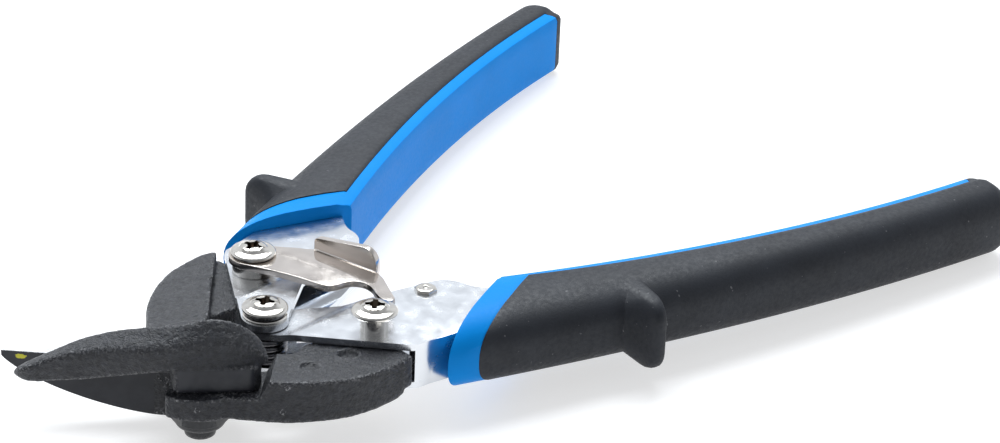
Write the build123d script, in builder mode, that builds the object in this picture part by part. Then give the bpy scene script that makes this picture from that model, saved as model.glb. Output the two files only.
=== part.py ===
"""Compact compound-lever metal shear: two forged jaws, two channel handles and a thumb latch.

Units are millimetres. +Z runs along the pivots, +X along the centre line between the two
handles, towards their ends, and +Y towards the left handle. The origin is on the main pivot's
axis, at the end face of its bolt. The part is modelled fully open, as its spring holds it.
"""
import os
from math import cos, radians, sin

from build123d import *

os.makedirs("parts", exist_ok=True)

# ---- driving dimensions -------------------------------------------------------------------
shear_z = 14.8  # height of the plane where the two blades slide past each other

pivot_x = 33.1  # jaw tail pivots: distance along the centre line from the main pivot
pivot_y = 18.8  # and to either side of it
centre_x = 18.8  # pivot that joins the two handles
cutting_angle = 136.0  # direction in which the closed jaws point
half_gape = 7.55  # each open jaw stands this many degrees off that direction

hub_thickness = 5.3  # each jaw's hub, either side of the shear plane
hub_radius = 12.3
upper_hub_thickness = 6.0
hub_flat = 9.3  # flat on the upper hub, beside the wing
edge_offset = 3.5  # both cutting edges pass this far from the main pivot's axis
edge_thickness = 3.4  # ground face beside each cutting edge
lower_jaw_length = 43.0
upper_jaw_length = 38.6
lower_jaw_depth = 12.6
upper_blade_height = 11.2
upper_jaw_height = 14.6  # beside the bolt's head

sheet = 1.5  # steel of the channels and the latch
channel_half = 5.3  # channel's outer half height
tail_half = 3.6  # jaw tails, where they lie inside the channels
tail_outer_half = 5.2
eye_radius = 5.1
right_eye_base = 3.4  # the right eyes are set inwards, the left ones outwards
left_eye_base = 5.1

main_shank_radius = 4.0
main_head_radius = 5.6
main_head_height = 3.6
main_nut_across_flats = 12.4
main_nut_height = 6.9
shoulder_radius = 3.1  # shank of the three handle screws
thread_radius = 2.0
stop_x, stop_y = 54.0, 13.9  # rivet on the right channel
stop_shank_radius = 1.6
stop_head_radius = 2.6
flange_radius = 5.0
flange_height = 1.2
dome_height = 1.8
small_nut_across_flats = 8.0
small_nut_height = 3.6
running_clearance = 0.06
open_pivot_clearance = 0.35

latch_base = 7.9
tab_top = 14.3
wire_radius = 0.66
spring_radius = 4.3
spring_turns = 5

grip_start = 44.0  # outermost, foremost corner of a grip
grip_end = 184.0
grip_inner_half = 7.9
grip_outer_half = 8.9
tongue_half = 6.7
band = 3.2  # blue strip along a grip's inner side
tang_end = 152.0

LEFT, RIGHT = 1, -1


# ---- shared geometry ----------------------------------------------------------------------
def level(height):
    """Horizontal plane at a height above the shear plane."""
    return Plane.XY.offset(shear_z + height)


def jaw_plane(angle, height=0.0):
    """Horizontal plane turned so that its x runs from the main pivot along a jaw."""
    turn = radians(angle)
    return Plane(origin=(0, 0, shear_z + height), x_dir=(cos(turn), sin(turn), 0), z_dir=(0, 0, 1))


def jaw_section(angle, along):
    """Upright plane across a jaw: x is sideways, y is up, with its origin in the shear plane."""
    turn = radians(angle)
    origin = (along * cos(turn), along * sin(turn), shear_z)
    return Plane(origin=origin, x_dir=(-sin(turn), cos(turn), 0), z_dir=(cos(turn), sin(turn), 0))


def inner_line(x, inset=0.0):
    """Point on a grip's inner edge, moved outwards by an inset."""
    run = x - 68.5
    return x, 23.5 + 0.526 * run - 0.0015 * run**2 + inset


def outer_line(x, inset=0.0):
    """Point on a grip's outer edge, moved inwards by an inset."""
    run = x - grip_start
    return x, 36.8 + 0.40 * run - 0.00075 * run**2 - inset


def to_side(side, *points):
    """Mirror plan points across the centre line for the right-hand side."""
    return [(x, side * y) for x, y in points]


def arc_through(side, line, start, end, inset=0.0):
    """Arc along one of a grip's long edges."""
    middle = (start + end) / 2
    return ThreePointArc(*to_side(side, line(start, inset), line(middle, inset), line(end, inset)))


def side_pivot(side):
    return pivot_x, side * pivot_y


# ---- jaws ---------------------------------------------------------------------------------
lower_angle = cutting_angle - half_gape
upper_angle = cutting_angle + half_gape
closed_centre_x, closed_centre_y = 16.3, 2.2  # where the centre pivot stands in a closed jaw
tail_step = [(11.8, 10.2), (30.4, 28.0)]  # shoulder where a tail thins to enter its channel
shank_hole_radius = main_shank_radius + running_clearance
shoulder_hole_radius = shoulder_radius + running_clearance


def tail_outline(side):
    """Plan of the thick, arched part of a jaw's tail."""
    near, far = tail_step
    heel = (-3.5, 11.8)
    Polyline(*to_side(side, far, near, (3.5, 5.0), (-6.0, 6.0), heel))
    Spline(*to_side(side, heel, (5.0, 22.4), (15.8, 29.0), (26.0, 30.6), (31.6, 29.6), far))


def tail_neck_outline(side):
    """Plan of the thin part of a jaw's tail, up to its pivot."""
    x, y = pivot_x, pivot_y
    inner, outermost, outer = (x - 0.6, y - 6.2), (x + 6.2, y + 0.6), (x - 4.4, y + 4.4)
    Polyline(*to_side(side, outer, (27.0, 26.0), (12.5, 12.0), (20.5, 11.0), inner))
    ThreePointArc(*to_side(side, inner, outermost, outer))


def add_tail(side, hub_side):
    """Add a tail to the jaw being built; hub_side is +1 when its hub lies above the shear plane."""
    with BuildSketch(level(-tail_outer_half)) as thick_part:
        with BuildLine():
            tail_outline(side)
        make_face()
    extrude(thick_part.sketch, amount=2 * tail_outer_half)
    with BuildSketch(level(-tail_half)) as thin_part:
        with BuildLine():
            tail_neck_outline(side)
        make_face()
    extrude(thin_part.sketch, amount=2 * tail_half)
    # room for the other jaw's hub to turn
    with BuildSketch(level(0)) as room:
        Circle(hub_radius + 1.0)
    extrude(room.sketch, amount=-hub_side * 3 * hub_thickness, mode=Mode.SUBTRACT)
    # notch in the hub for the handles' eyes, which come nearest when closed
    with BuildSketch(level(-2 * tail_outer_half)) as eye_notch:
        with Locations((closed_centre_x, side * closed_centre_y)):
            Circle(eye_radius + 0.7)
    extrude(eye_notch.sketch, amount=4 * tail_outer_half, mode=Mode.SUBTRACT)
    with BuildSketch(level(-2 * tail_outer_half)) as pivot_hole:
        with Locations(side_pivot(side)):
            Circle(shoulder_hole_radius)
    extrude(pivot_hole.sketch, amount=4 * tail_outer_half, mode=Mode.SUBTRACT)


def lower_wing_depth(along):
    """Depth of the lower blade, arched from its heel to its tip."""
    rise = (along - 9.0) / (lower_jaw_length + 0.8 - 9.0)
    return lower_jaw_depth * (1 - rise**2) ** 0.65


with BuildPart() as lower_jaw:
    for along in (8.0, 18.0, 28.0, 36.0, lower_jaw_length):
        depth = lower_wing_depth(along)
        face, back = -edge_offset, -edge_offset - edge_thickness * min(1.0, (52.0 - along) / 16.0)
        with BuildSketch(jaw_section(lower_angle, along)):
            with BuildLine():
                Polyline((face, -depth), (face, 0), (back, 0), (back - 0.16 * depth, -0.45 * depth),
                         (back + 0.1, -0.85 * depth), (face - 0.9, -depth), close=True)
            make_face()
    loft(ruled=True)
    with BuildSketch(level(-hub_thickness)):
        Circle(hub_radius)
    extrude(amount=hub_thickness)
    # root of the wing, carried back into the hub
    with BuildSketch(jaw_section(lower_angle, 8.0)):
        with BuildLine():
            Polyline((-edge_offset, -lower_jaw_depth), (-edge_offset, 0), (-edge_offset - edge_thickness, 0),
                     (-9.0, -5.7), (-6.8, -10.7), (-edge_offset - 0.9, -lower_jaw_depth), close=True)
        make_face()
    extrude(amount=-3.0)
    add_tail(RIGHT, -1)
    # seat for the main pivot's washer and nut
    with BuildSketch(level(-hub_thickness)):
        Circle(8.4)
    extrude(amount=-10.0, mode=Mode.SUBTRACT)
    with BuildSketch(level(-hub_thickness)):
        Circle(main_shank_radius + 0.02)
    extrude(amount=hub_thickness, mode=Mode.SUBTRACT)
lower_jaw.part.label = "lower_jaw"


def upper_wing(along):
    """Corner points of the upper wing's section, from the cutting edge round the back."""
    hub = max(0.0, min(1.0, (14.0 - along) / 14.0))  # 0 on the blade, 1 beside the bolt head
    reach = max(0.0, (along - 8.0) / (upper_jaw_length - 8.0))
    blade_height = upper_blade_height * (1 - reach**2) ** 0.75 + 2.0 * reach
    height = blade_height + (upper_jaw_height - upper_blade_height) * hub
    sweep = 8.6 * hub
    face = -edge_offset + 1.6 * reach**3
    bulge = 3.4 * (1 - reach) + 0.2
    return [(face + sweep, 0.0), (0.0 - 1.4 * reach**3 + sweep, 0.0),
            (bulge + 0.75 * sweep, 0.55 * height), (0.4 * bulge + 0.6 * sweep, 0.9 * height),
            (face + 0.9 + 0.75 * sweep, height), (face + sweep, 0.8 * height)]


with BuildPart() as upper_jaw:
    for along in (upper_jaw_length, 30.0, 20.0, 10.0, 0.0, -10.5):
        with BuildSketch(jaw_section(upper_angle, along)):
            with BuildLine():
                Polyline(*upper_wing(along), close=True)
            make_face()
    loft(ruled=True)
    with BuildSketch(level(0)):
        Circle(hub_radius - 0.3)
    extrude(amount=upper_hub_thickness)
    # the wing's rounded heel, and the flat beside it
    with BuildSketch(jaw_plane(upper_angle, 16.0)):
        with BuildLine():
            Polyline((-6.0, 14.0), (-16.0, 14.0), (-16.0, 0.0), (-12.2, 0.0))
            ThreePointArc((-12.2, 0.0), (-10.3, 6.0), (-6.0, 14.0))
        make_face()
    extrude(amount=-16.0, mode=Mode.SUBTRACT)
    with BuildSketch(jaw_plane(upper_angle, upper_hub_thickness)):
        with Locations((0, hub_flat + 5.0)):
            Rectangle(40.0, 10.0)
    extrude(amount=-upper_hub_thickness, mode=Mode.SUBTRACT)
    add_tail(LEFT, 1)
    # room under the tail for the back of the lower blade, which is nearest when fully open
    with BuildSketch(jaw_plane(lower_angle)):
        with Locations((15.0, -9.4 + 20.0)):
            Rectangle(30.0, 40.0)
    extrude(amount=-16.0, mode=Mode.SUBTRACT)
    # seat for the main bolt's head
    with BuildSketch(level(upper_hub_thickness)):
        Circle(main_head_radius + 0.3)
    extrude(amount=12.0, mode=Mode.SUBTRACT)
    with BuildSketch(level(0)):
        Circle(shank_hole_radius)
    extrude(amount=upper_hub_thickness, mode=Mode.SUBTRACT)
upper_jaw.part.label = "upper_jaw"

# ---- main pivot ---------------------------------------------------------------------------
with BuildPart() as main_pivot_bolt:
    with BuildSketch(Plane.XY):
        Circle(main_shank_radius)
    extrude(amount=shear_z + upper_hub_thickness + 0.1)
    with BuildSketch(level(upper_hub_thickness + 0.1)):
        Circle(main_head_radius)
    extrude(amount=main_head_height)
    chamfer(main_pivot_bolt.faces().sort_by(Axis.Z)[-1].edges(), 1.0)
    chamfer(main_pivot_bolt.faces().sort_by(Axis.Z)[0].edges(), 0.8)
main_pivot_bolt.part.label = "main_pivot_bolt"

washer_thickness = 0.8
with BuildPart() as main_pivot_washer:
    with BuildSketch(level(-hub_thickness - washer_thickness)):
        Circle(7.4)
        Circle(main_shank_radius + 0.05, mode=Mode.SUBTRACT)
    extrude(amount=washer_thickness)
main_pivot_washer.part.label = "main_pivot_washer"

with BuildPart() as main_pivot_nut:
    with BuildSketch(level(-hub_thickness - washer_thickness)):
        RegularPolygon(main_nut_across_flats / 2, 6, major_radius=False, rotation=15)
    extrude(amount=-(main_nut_height - 1.8))
    with BuildSketch(level(-hub_thickness - washer_thickness - main_nut_height + 1.8)):
        Circle(main_nut_across_flats / 2 - 0.9)
    extrude(amount=-1.0)
    with BuildSketch(level(-hub_thickness)):
        Circle(main_shank_radius + 0.02)
    extrude(amount=-main_nut_height - 2.0, mode=Mode.SUBTRACT)
main_pivot_nut.part.label = "main_pivot_nut"


# ---- channel handles ----------------------------------------------------------------------
web_start, fold_corner = (35.2, 28.2), (46.8, 32.2)


def web_line(x, inset=0.0):
    """Point on the outer face of a channel's web, inside the grip."""
    run = x - fold_corner[0]
    return x, fold_corner[1] + 0.392 * run - 0.00075 * run**2 - inset


def plate_outline(side):
    """Plan of a channel's upper or lower plate, from its eye to the end of its tang."""
    eye = to_side(side, (centre_x - 4.08, 3.06), (centre_x - 3.0, -4.1), (centre_x + 4.0, -3.2))
    ThreePointArc(*eye)
    Polyline(eye[2], *to_side(side, (36.0, 5.9), (45.0, 8.2), (60.4, 13.0), (62.2, 15.8), (63.0, 19.4),
                              (65.4, 23.2), (69.0, 27.0), inner_line(75.0, 4.0)))
    arc_through(side, inner_line, 75.0, tang_end, 4.0)
    Polyline(*to_side(side, inner_line(tang_end, 4.0), web_line(tang_end)))
    arc_through(side, web_line, tang_end, fold_corner[0])
    Polyline(*to_side(side, fold_corner, web_start), eye[0])


def web_plan(side):
    """Plan of the web that joins a channel's two plates."""
    start = fold_corner[0] - 0.5
    with BuildSketch(level(sheet - channel_half)) as plan:
        with BuildLine():
            arc_through(side, web_line, fold_corner[0], tang_end)
            Polyline(*to_side(side, web_line(tang_end), web_line(tang_end, 1.6)))
            arc_through(side, web_line, tang_end, start, 1.6)
            Polyline(*to_side(side, web_line(start, 1.6), (35.7, 26.8), web_start, fold_corner))
        make_face()
    return plan.sketch


def plate_part(side, height, start_y, end_y):
    """Part of a plate's plan that lies between two distances from the centre line."""
    with BuildSketch(level(height)) as plan:
        with BuildLine():
            plate_outline(side)
        make_face()
        with Locations((centre_x, side * (start_y + end_y) / 2)):
            Rectangle(400.0, end_y - start_y, mode=Mode.INTERSECT)
    return plan.sketch


def make_channel(side, eye_base, joggle_y):
    """Pressed steel channel: two plates joined by a web, with joggled eyes at the centre pivot."""
    plate_base = channel_half - sheet
    step_base, step_top = min(plate_base, eye_base), max(plate_base, eye_base) + sheet
    with BuildPart() as channel:
        for flip in (1, -1):
            extrude(plate_part(side, flip * plate_base, joggle_y, 90.0), amount=flip * sheet)
            extrude(plate_part(side, flip * eye_base, -10.0, joggle_y), amount=flip * sheet)
            step = plate_part(side, flip * step_base, joggle_y - 0.8, joggle_y + 0.8)
            extrude(step, amount=flip * (step_top - step_base))
        extrude(web_plan(side), amount=2 * plate_base)
        with BuildSketch(level(-10.0)):
            with Locations(side_pivot(side)):
                Circle(shoulder_radius + 0.02)
            with Locations((centre_x, 0)):
                Circle(shoulder_radius + (0.02 if side == LEFT else open_pivot_clearance))
        extrude(amount=20.0, mode=Mode.SUBTRACT)
        if side == RIGHT:
            with BuildSketch(level(0)):
                with Locations((stop_x, -stop_y)):
                    Circle(stop_shank_radius)
            extrude(amount=10.0, mode=Mode.SUBTRACT)
    return channel


left_channel = make_channel(LEFT, left_eye_base, 11.0)
right_channel = make_channel(RIGHT, right_eye_base, 7.4)
left_channel.part.label = "left_channel"
right_channel.part.label = "right_channel"

with BuildPart() as stop_rivet:
    with BuildSketch(level(channel_half - sheet - 0.8)):
        with Locations((stop_x, -stop_y)):
            Circle(stop_head_radius - 0.3)
    extrude(amount=0.8)
    with BuildSketch(level(channel_half - sheet)):
        with Locations((stop_x, -stop_y)):
            Circle(stop_shank_radius)
    extrude(amount=sheet)
    with BuildSketch(level(channel_half)):
        with Locations((stop_x, -stop_y)):
            RegularPolygon(stop_head_radius, 6)
    extrude(amount=0.9)
stop_rivet.part.label = "stop_rivet"


# ---- grips --------------------------------------------------------------------------------
collar_front = [(68.5, 23.5), (40.0, 35.0)]
collar_back = [(70.8, 28.1), (46.2, 37.4)]
guard_reach = 7.2
guard_x = {LEFT: 61.8, RIGHT: 81.5}  # the left grip's guard stands nearer its collar
tongue_tip = tang_end + 2.0


def tongue_end(side):
    """End and outer edge of the tongue that holds the tang."""
    Polyline(*to_side(side, inner_line(tongue_tip, band - 0.5), web_line(tongue_tip, -1.5)))
    arc_through(side, web_line, tongue_tip, 52.0, -1.5)


def make_core(side):
    """Blue inner moulding: collar, flat inner band and the tongue that holds the tang."""
    with BuildPart() as core:
        with BuildSketch(level(-grip_inner_half)):
            with BuildLine():
                arc_through(side, inner_line, collar_front[0][0], grip_end)
                Polyline(*to_side(side, inner_line(grip_end), inner_line(grip_end, band)))
                arc_through(side, inner_line, grip_end, collar_back[0][0], band)
                Polyline(*to_side(side, inner_line(collar_back[0][0], band), collar_back[0], collar_back[1],
                                  outer_line(grip_start), collar_front[1], collar_front[0]))
            make_face()
        extrude(amount=2 * grip_inner_half)
        with BuildSketch(level(-tongue_half)):
            with BuildLine():
                arc_through(side, inner_line, collar_back[0][0], tongue_tip, band - 0.5)
                tongue_end(side)
                Polyline(*to_side(side, web_line(52.0, -1.5), (60.0, 31.0),
                                  inner_line(collar_back[0][0], band - 0.5)))
            make_face()
        extrude(amount=2 * tongue_half)
        # the moulding fills the channel, so only the steel is taken out of it
        for flip in (1, -1):
            plate = plate_part(side, flip * (channel_half - sheet), 8.0, 90.0)
            extrude(plate, amount=flip * sheet, mode=Mode.SUBTRACT)
        extrude(web_plan(side), amount=2 * (channel_half - sheet), mode=Mode.SUBTRACT)
    return core


def make_cover(side):
    """Black soft moulding over the outer side of a grip, with a finger guard."""
    with BuildPart() as cover:
        with BuildSketch(level(-grip_outer_half)):
            with BuildLine():
                arc_through(side, outer_line, collar_back[1][0], 187.0)
                tip = to_side(side, outer_line(187.0), (193.6, 72.5), (188.0, inner_line(188.0)[1]))
                ThreePointArc(*tip)
                Polyline(tip[2], *to_side(side, inner_line(grip_end + 0.3), inner_line(grip_end, band)))
                arc_through(side, inner_line, grip_end, collar_back[0][0], band)
                Polyline(*to_side(side, inner_line(collar_back[0][0], band), collar_back[0], collar_back[1],
                                  outer_line(collar_back[1][0])))
            make_face()
        extrude(amount=2 * grip_outer_half)
        # finger guard: a rounded rib across the outer side
        guard_y = outer_line(guard_x[side])[1]
        with BuildSketch(Plane(origin=(guard_x[side] + 3.4, side * (guard_y - 2.0), shear_z),
                               x_dir=(0.34, -side * 0.94, 0), z_dir=(0.94, side * 0.34, 0))):
            with Locations((-1.0, 0)):
                Ellipse(guard_reach + 3.0, grip_outer_half - 0.4)
        extrude(amount=2.6, both=True)
        with BuildSketch(level(-tongue_half)):
            with BuildLine():
                arc_through(side, inner_line, collar_back[0][0] - 4.0, tongue_tip, band - 0.5)
                tongue_end(side)
                Polyline(*to_side(side, web_line(52.0, -1.5), (60.0, 28.0),
                                  inner_line(collar_back[0][0] - 4.0, band - 0.5)))
            make_face()
        extrude(amount=2 * tongue_half, mode=Mode.SUBTRACT)
    return cover


for side, name in ((LEFT, "left"), (RIGHT, "right")):
    core, cover = make_core(side), make_cover(side)
    core.part.label = f"{name}_grip_core"
    cover.part.label = f"{name}_grip_cover"
    export_step(core.part, f"parts/{name}_grip_core.step")
    export_step(cover.part, f"parts/{name}_grip_cover.step")


# ---- handle screws and nuts ---------------------------------------------------------------
def make_screw(centre, shoulder_top, foot):
    """Cross-head shoulder screw, standing in a pivot, with its thread below the channel."""
    with BuildPart() as screw:
        with BuildSketch(level(foot)):
            with Locations(centre):
                Circle(shoulder_radius)
        extrude(amount=shoulder_top - foot)
        with BuildSketch(level(foot)):
            with Locations(centre):
                Circle(thread_radius)
        extrude(amount=-small_nut_height - 1.0)
        with BuildSketch(level(shoulder_top)):
            with Locations(centre):
                Circle(flange_radius)
        extrude(amount=flange_height)
        with BuildSketch(level(shoulder_top + flange_height)):
            with Locations(centre):
                Circle(flange_radius - 1.2)
        extrude(amount=dome_height, taper=18)
        with BuildSketch(level(shoulder_top + flange_height + dome_height)):
            with Locations(centre):
                Rectangle(3.6, 0.9)
                Rectangle(0.9, 3.6)
        extrude(amount=-1.6, mode=Mode.SUBTRACT)
    return screw


def make_nut(centre, top):
    with BuildPart() as nut:
        with BuildSketch(level(top)):
            with Locations(centre):
                RegularPolygon(small_nut_across_flats / 2, 6, major_radius=False)
                Circle(thread_radius + 0.02, mode=Mode.SUBTRACT)
        extrude(amount=-small_nut_height)
    return nut


screw_top = latch_base + sheet + 0.1
centre_screw_top = 8.2
centre_foot = -(left_eye_base + sheet + 0.1)
side_foot = -(channel_half + 0.1)
left_pivot_screw = make_screw(side_pivot(LEFT), screw_top, side_foot)
right_pivot_screw = make_screw(side_pivot(RIGHT), screw_top, side_foot)
centre_pivot_screw = make_screw((centre_x, 0), centre_screw_top, centre_foot)
left_pivot_nut = make_nut(side_pivot(LEFT), side_foot)
right_pivot_nut = make_nut(side_pivot(RIGHT), side_foot)
centre_pivot_nut = make_nut((centre_x, 0), centre_foot)


def make_ring(centre, bottom, top, outer, inner):
    with BuildPart() as ring:
        with BuildSketch(level(bottom)):
            with Locations(centre):
                Circle(outer)
                Circle(inner, mode=Mode.SUBTRACT)
        extrude(amount=top - bottom)
    return ring


ring_hole = shoulder_radius + 0.05
left_eye_top = left_eye_base + sheet
centre_flat_washer = make_ring((centre_x, 0), left_eye_top, left_eye_top + 0.7, 4.8, ring_hole)
centre_spring_washer = make_ring((centre_x, 0), left_eye_top + 0.7, centre_screw_top, 4.3, ring_hole)
centre_bush = make_ring((centre_x, 0), -right_eye_base + 0.1, right_eye_base - 0.1, 3.6, ring_hole)
latch_spacer = make_ring(side_pivot(LEFT), channel_half, latch_base, 4.6, ring_hole)

# ---- torsion spring -----------------------------------------------------------------------
with BuildPart() as torsion_spring:
    for turn in range(spring_turns):
        height = (turn - (spring_turns - 1) / 2) * 2 * wire_radius
        with BuildSketch(level(height - wire_radius)):
            with Locations((centre_x, 0)):
                Circle(spring_radius + wire_radius)
                Circle(spring_radius - wire_radius, mode=Mode.SUBTRACT)
        extrude(amount=2 * wire_radius)
    for side, height in ((LEFT, 2.0), (RIGHT, -2.0)):
        leg_end = (centre_x + 22.0, side * 12.4)
        with BuildSketch(level(height * 2 * wire_radius - wire_radius)):
            with BuildLine():
                Polyline((centre_x + 3.0, side * 3.1), (centre_x + 4.0, side * 1.9),
                         (leg_end[0] + 0.6, leg_end[1] - side * 1.1), leg_end, close=True)
            make_face()
        extrude(amount=2 * wire_radius)
torsion_spring.part.label = "torsion_spring"

# ---- thumb latch --------------------------------------------------------------------------
latch_x, latch_y = side_pivot(LEFT)
with BuildPart() as latch:
    with BuildSketch(level(latch_base)):
        with BuildLine():
            boss = [(latch_x + dx, latch_y + dy) for dx, dy in ((1.5, 5.1), (-4.6, 2.8), (-4.9, -2.2))]
            ThreePointArc(*boss)
            Spline(boss[2], (31.9, 8.6), (33.4, 1.0), (34.2, -2.8), (36.0, -4.0))
            ThreePointArc((36.0, -4.0), (41.0, -6.2), (40.6, -11.2))
            Polyline((40.6, -11.2), (39.0, -14.6))
            ThreePointArc((39.0, -14.6), (39.2, -17.6), (41.4, -16.8))
            Polyline((41.4, -16.8), (47.2, -6.6), (46.4, 8.2), (44.8, 11.6), boss[0])
        make_face()
        with Locations((latch_x, latch_y)):
            Circle(ring_hole, mode=Mode.SUBTRACT)
    extrude(amount=sheet)
    with BuildSketch(level(latch_base)):
        with BuildLine():
            Polyline((47.2, -6.6), (46.4, 8.2), (45.4, 10.4), (44.0, 9.8), (44.9, 7.8), (45.7, -6.6),
                     close=True)
        make_face()
    extrude(amount=tab_top - latch_base)
latch.part.label = "latch"

# ---- labels and files ---------------------------------------------------------------------
left_pivot_screw.part.label = "left_pivot_screw"
right_pivot_screw.part.label = "right_pivot_screw"
centre_pivot_screw.part.label = "centre_pivot_screw"
left_pivot_nut.part.label = "left_pivot_nut"
right_pivot_nut.part.label = "right_pivot_nut"
centre_pivot_nut.part.label = "centre_pivot_nut"
centre_flat_washer.part.label = "centre_flat_washer"
centre_spring_washer.part.label = "centre_spring_washer"
centre_bush.part.label = "centre_bush"
latch_spacer.part.label = "latch_spacer"

for piece in (lower_jaw, upper_jaw, main_pivot_bolt, main_pivot_washer, main_pivot_nut, left_channel,
              right_channel, stop_rivet, left_pivot_screw, right_pivot_screw, centre_pivot_screw,
              left_pivot_nut, right_pivot_nut, centre_pivot_nut, centre_flat_washer,
              centre_spring_washer, centre_bush, latch_spacer, torsion_spring, latch):
    export_step(piece.part, f"parts/{piece.part.label}.step")
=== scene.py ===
"""Looks of the compact metal shear: forged jaws, plated channels, two-colour grips, screws, spring and latch.

Shapes are worked out in millimetres in the row frame and turned into metres when a piece is made.
"""

from math import atan2, cos, hypot, pi, radians, sin, sqrt

import bmesh
import bpy
from mathutils import Matrix, Vector, noise


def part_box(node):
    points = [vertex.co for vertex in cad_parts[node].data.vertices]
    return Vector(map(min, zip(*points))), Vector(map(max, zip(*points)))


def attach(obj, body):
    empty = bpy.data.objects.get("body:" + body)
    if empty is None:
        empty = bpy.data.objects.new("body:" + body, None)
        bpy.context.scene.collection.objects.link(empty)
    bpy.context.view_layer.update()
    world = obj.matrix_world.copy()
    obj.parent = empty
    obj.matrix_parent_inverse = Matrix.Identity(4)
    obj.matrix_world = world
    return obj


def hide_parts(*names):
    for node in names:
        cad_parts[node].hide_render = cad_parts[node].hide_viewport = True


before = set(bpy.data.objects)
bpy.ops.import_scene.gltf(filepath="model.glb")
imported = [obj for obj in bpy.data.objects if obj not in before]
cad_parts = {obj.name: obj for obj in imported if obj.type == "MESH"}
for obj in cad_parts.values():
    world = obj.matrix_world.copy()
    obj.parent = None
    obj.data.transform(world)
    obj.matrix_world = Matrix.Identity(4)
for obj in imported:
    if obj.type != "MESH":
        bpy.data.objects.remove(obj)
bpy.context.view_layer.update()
MM = 0.001
LEFT, RIGHT = 1, -1


# ---- places taken from the frame ----------------------------------------------------------
def box_mm(node):
    low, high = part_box(node)
    return low / MM, high / MM


def centre_mm(node):
    low, high = box_mm(node)
    return (low + high) / 2


shear_z = centre_mm("right_channel").z
pivots = {side: centre_mm(f"{name}_pivot_nut") for side, name in ((LEFT, "left"), (RIGHT, "right"))}
pivot_x, pivot_y = pivots[LEFT].x, pivots[LEFT].y
centre_x = centre_mm("centre_pivot_nut").x
channel_half = box_mm("right_channel")[1].z - shear_z
latch_base = box_mm("latch")[0].z - shear_z
tab_top = box_mm("latch")[1].z - shear_z
main_head_top = box_mm("main_pivot_bolt")[1].z - shear_z
hub_bottom = box_mm("main_pivot_washer")[1].z - shear_z
nut_top = box_mm("main_pivot_nut")[1].z - shear_z
stop = centre_mm("stop_rivet")
grip_half = box_mm("right_grip_cover")[1].z - shear_z
core_half = box_mm("right_grip_core")[1].z - shear_z

# sizes shared with the CAD model
sheet = 1.5
cutting_angle, half_gape = 136.0, 7.55
edge_offset = 3.5
hub_radius, upper_hub_radius = 12.3, 12.0
upper_hub_thickness = 6.0
tail_half, tail_outer_half = 3.6, 5.2
shank_radius, head_radius = 4.0, 5.6
shoulder_radius, thread_radius = 3.1, 2.0
wire_radius, spring_radius, spring_turns = 0.66, 4.3, 5
eye_radius = 5.1
closed_centre_x, closed_centre_y = 16.3, 2.2  # where the centre pivot stands in a closed jaw
band = 3.2  # width of the blue moulding along a grip's inner side
grip_start, tang_end, grip_end = 68.5, 152.0, 184.0
jaw_angle = {"lower": cutting_angle - half_gape, "upper": cutting_angle + half_gape}

# sizes of the looks alone
open_pivot_gap = 0.24  # room round the centre pivot for the small error of a constant ratio
guard_x = {LEFT: 64.4, RIGHT: 84.6}  # the left grip's guard stands nearer its collar


def inner_line(x, inset=0.0):
    """Point on a grip's inner edge, in plan."""
    run = x - grip_start
    return x, 23.5 + 0.526 * run - 0.0015 * run**2 + inset


def outer_line(x, inset=0.0):
    """Point on a grip's outer edge, in plan."""
    run = x - 44.0
    return x, 36.8 + 0.40 * run - 0.00075 * run**2 - inset


def web_line(x, inset=0.0):
    """Point on the outer face of a channel's web, in plan."""
    run = x - 46.8
    return x, 32.2 + 0.392 * run - 0.00075 * run**2 - inset


# ---- curves in plan -----------------------------------------------------------------------
def clamp(value, low=0.0, high=1.0):
    return max(low, min(high, value))


def smoothstep(value):
    value = clamp(value)
    return value * value * (3 - 2 * value)


def blend(a, b, share):
    return a + (b - a) * share


def spread(low, high, count):
    """Evenly spaced values, ends included."""
    return [low + (high - low) * i / (count - 1) for i in range(count)]


def spline(points, steps=8):
    """Points along a Catmull-Rom curve through the given points."""
    ends = [points[0], *points, points[-1]]
    curve = []
    for a, b, c, d in zip(ends, ends[1:], ends[2:], ends[3:]):
        for i in range(steps):
            t = i / steps
            weights = (-t + 2 * t**2 - t**3, 2 - 5 * t**2 + 3 * t**3, t + 4 * t**2 - 3 * t**3, t**3 - t**2)
            curve.append(tuple(sum(w * p[k] for w, p in zip(weights, (a, b, c, d))) / 2
                               for k in range(len(b))))
    return curve + [tuple(points[-1])]


def arc(a, b, c, steps=12):
    """Points on the circle through three plan points, from the first to the last."""
    (ax, ay), (bx, by), (cx, cy) = a, b, c
    det = 2 * (ax * (by - cy) + bx * (cy - ay) + cx * (ay - by))
    ux = ((ax**2 + ay**2) * (by - cy) + (bx**2 + by**2) * (cy - ay) + (cx**2 + cy**2) * (ay - by)) / det
    uy = ((ax**2 + ay**2) * (cx - bx) + (bx**2 + by**2) * (ax - cx) + (cx**2 + cy**2) * (bx - ax)) / det
    radius = hypot(ax - ux, ay - uy)
    start, middle, end = (atan2(y - uy, x - ux) for x, y in (a, b, c))
    turn = (end - start) % (2 * pi)
    if (middle - start) % (2 * pi) > turn:
        turn -= 2 * pi
    return [(ux + radius * cos(start + turn * i / steps), uy + radius * sin(start + turn * i / steps))
            for i in range(steps + 1)]


def mirrored(side, points):
    return [(x, side * y) for x, y in points]


# ---- mesh tools ---------------------------------------------------------------------------
def loft(rings):
    """Skin over rings of points, capped at both ends."""
    bm = bmesh.new()
    rows = [[bm.verts.new(p) for p in ring] for ring in rings]
    for near, far in zip(rows, rows[1:]):
        for i in range(len(near)):
            bm.faces.new((near[i - 1], near[i], far[i], far[i - 1]))
    bm.faces.new(rows[0])
    bm.faces.new(rows[-1])
    bmesh.ops.recalc_face_normals(bm, faces=bm.faces)
    return bm


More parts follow.
